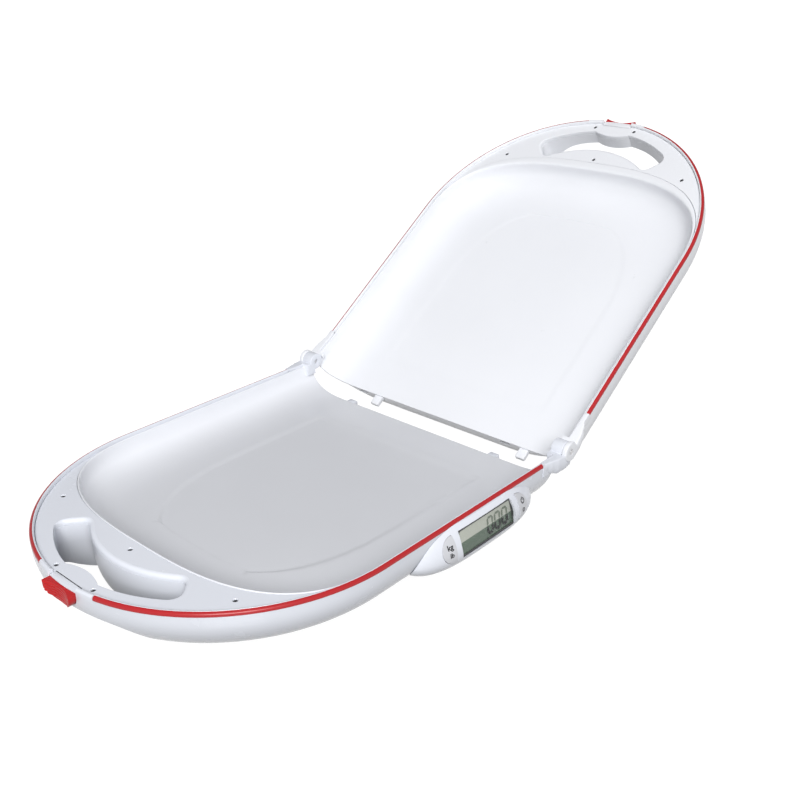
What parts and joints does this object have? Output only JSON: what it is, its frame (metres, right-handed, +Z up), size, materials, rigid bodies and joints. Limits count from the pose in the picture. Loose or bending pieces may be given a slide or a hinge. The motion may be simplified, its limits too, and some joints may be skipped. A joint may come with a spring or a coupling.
{
  "type": "folding animal weighing scale",
  "caption": "Folding scale for small animals: two hinged white trays with hand slots and red trim, a side display with keys, and a release latch at each round end.",
  "frame": {"origin": "middle of the bounding box's underside, on the surface that the scale stands on, with the lid half open as stored", "axes": "+X from the base's handle to the lid's handle, across the hinge; -Y is the front with the display; +Z up"},
  "size_m": [0.7542, 0.3486, 0.2794],
  "materials": {
    "white_shell": "glossy injection-moulded white with a faint blue cast",
    "tray_white": "satin white with a lilac-grey cast",
    "trim_red": "glossy red moulded strip",
    "latch_red": "satin deep red with moulded ribs",
    "spring_steel": "bright wire",
    "screw_steel": "dulled zinc",
    "cell_steel": "stamped plate",
    "pin_steel": "turned pin",
    "contact_steel": "nickel-plated strip",
    "foot_rubber": "soft matte rubber",
    "display_clear": "clear glossy window",
    "liquid_crystal": "grey-green reflective display glass with dark segments",
    "button_grey": "satin light grey",
    "board_green": "solder-masked board",
    "battery_jacket": "printed jacket in one plain dark colour"
  },
  "bodies": {
    "base": {"base_shell": "white_shell", "base_handle_deck": "white_shell", "display_housing": "white_shell", "battery_box": "white_shell", "base_tray": "tray_white", "base_trim_near": "trim_red", "base_trim_far": "trim_red", "base_latch_spring": "spring_steel", "base_deck_screw_1": "screw_steel", "base_deck_screw_2": "screw_steel", "base_deck_screw_3": "screw_steel", "base_deck_screw_4": "screw_steel", "base_deck_screw_5": "screw_steel", "base_load_cell_near": "cell_steel", "base_load_cell_far": "cell_steel", "hinge_pin_near": "pin_steel", "hinge_pin_far": "pin_steel", "battery_contact_near": "contact_steel", "battery_contact_far": "contact_steel", "base_foot_near": "foot_rubber", "base_foot_far": "foot_rubber", "support_pad_near": "foot_rubber", "support_pad_far": "foot_rubber", "display_window": "display_clear", "lcd_module": "liquid_crystal", "circuit_board": "board_green", "battery_1": "battery_jacket", "battery_2": "battery_jacket", "battery_3": "battery_jacket", "battery_4": "battery_jacket"},
    "lid": {"lid_shell": "white_shell", "lid_handle_deck": "white_shell", "lid_tray": "white_shell", "lid_trim_near": "trim_red", "lid_trim_far": "trim_red", "lid_latch_spring": "spring_steel", "lid_deck_screw_1": "screw_steel", "lid_deck_screw_2": "screw_steel", "lid_deck_screw_3": "screw_steel", "lid_deck_screw_4": "screw_steel", "lid_deck_screw_5": "screw_steel", "lid_load_cell_near": "cell_steel", "lid_load_cell_far": "cell_steel", "lid_foot_near": "foot_rubber", "lid_foot_far": "foot_rubber"},
    "base_latch": {"base_latch_button": "latch_red"},
    "lid_latch": {"lid_latch_button": "latch_red"},
    "units_key": {"button_units": "button_grey"},
    "power_key": {"button_power": "button_grey"},
    "battery_cover": {"battery_door": "white_shell"}
  },
  "joints": [
    {"name": "lid_hinge", "type": "hinge", "parent": "base", "child": "lid", "pos_m": [0.03136, 0.00315, 0.054], "axis": [0, -1, 0], "range_deg": [-34.2, 145.8]},
    {"name": "base_latch_press", "type": "slide", "parent": "base", "child": "base_latch", "axis": [1, 0, 0], "range_m": [0, 0.0025], "stiffness_N_per_m": 900, "deforming": ["base_latch_spring"]},
    {"name": "lid_latch_press", "type": "slide", "parent": "lid", "child": "lid_latch", "axis": [-0.8271, 0, -0.5621], "range_m": [0, 0.0025], "stiffness_N_per_m": 900, "deforming": ["lid_latch_spring"]},
    {"name": "units_key_press", "type": "slide", "parent": "base", "child": "units_key", "axis": [0, 0.9613, -0.2756], "range_m": [0, 0.001], "stiffness_N_per_m": 1200},
    {"name": "power_key_press", "type": "slide", "parent": "base", "child": "power_key", "axis": [0, 0.9613, -0.2756], "range_m": [0, 0.001], "stiffness_N_per_m": 1200},
    {"name": "battery_door_slide", "type": "slide", "parent": "base", "child": "battery_cover", "axis": [-1, 0, 0], "range_m": [0, 0.03]}
  ]
}
